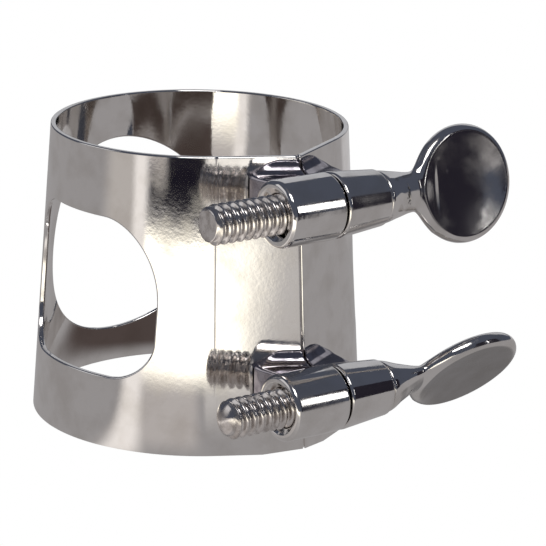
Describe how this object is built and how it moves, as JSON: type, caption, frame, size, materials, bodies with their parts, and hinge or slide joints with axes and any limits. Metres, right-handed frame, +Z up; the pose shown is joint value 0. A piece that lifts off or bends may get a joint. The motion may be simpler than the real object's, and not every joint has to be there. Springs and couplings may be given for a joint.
{
  "type": "saxophone ligature",
  "caption": "Tapered sheet-metal ligature band with windows and a V front, drawn together by thumb screws through posts, which clamps a reed on a mouthpiece.",
  "frame": {"origin": "on the band's axis, in the plane of its wide rim, which it stands on", "axes": "+Z up along the band's axis towards the narrow rim; -Y towards the slit and the screws; +X along the screws towards their thumb heads"},
  "size_m": [0.0345, 0.0391, 0.028],
  "materials": {
    "band_plate": "bright nickel plate on brass sheet",
    "post_plate": "bright nickel plate on turned brass",
    "saddle_plate": "nickel plate on cast brass",
    "screw_plate": "nickel plate on cut thread",
    "head_plate": "bright nickel plate on cast brass"
  },
  "bodies": {
    "frame": {"band": "band_plate", "upper_threaded_post": "post_plate", "upper_plain_post": "post_plate", "upper_threaded_saddle": "saddle_plate", "upper_plain_saddle": "saddle_plate", "lower_threaded_post": "post_plate", "lower_plain_post": "post_plate", "lower_threaded_saddle": "saddle_plate", "lower_plain_saddle": "saddle_plate"},
    "upper_shank": {"upper_screw_shank": "screw_plate"},
    "upper_head": {"upper_thumb_head": "head_plate"},
    "lower_shank": {"lower_screw_shank": "screw_plate"},
    "lower_head": {"lower_thumb_head": "head_plate"}
  },
  "joints": [
    {"name": "upper_screw_travel", "type": "slide", "parent": "frame", "child": "upper_shank", "axis": [1, 0, 0], "range_m": [0, 0.0042]},
    {"name": "upper_screw_turn", "type": "hinge", "parent": "upper_shank", "child": "upper_head", "pos_m": [0.0051, -0.01925, 0.0229], "axis": [1, 0, 0], "range_deg": [0, 1890]},
    {"name": "lower_screw_travel", "type": "slide", "parent": "frame", "child": "lower_shank", "axis": [1, 0, 0], "range_m": [0, 0.0042]},
    {"name": "lower_screw_turn", "type": "hinge", "parent": "lower_shank", "child": "lower_head", "pos_m": [0.0051, -0.02043, 0.00625], "axis": [1, 0, 0], "range_deg": [0, 1890]}
  ],
  "couplings": [
    {"joint": "upper_screw_turn", "follows": "upper_screw_travel", "rad_per_m": 7854},
    {"joint": "lower_screw_turn", "follows": "lower_screw_travel", "rad_per_m": 7854}
  ]
}
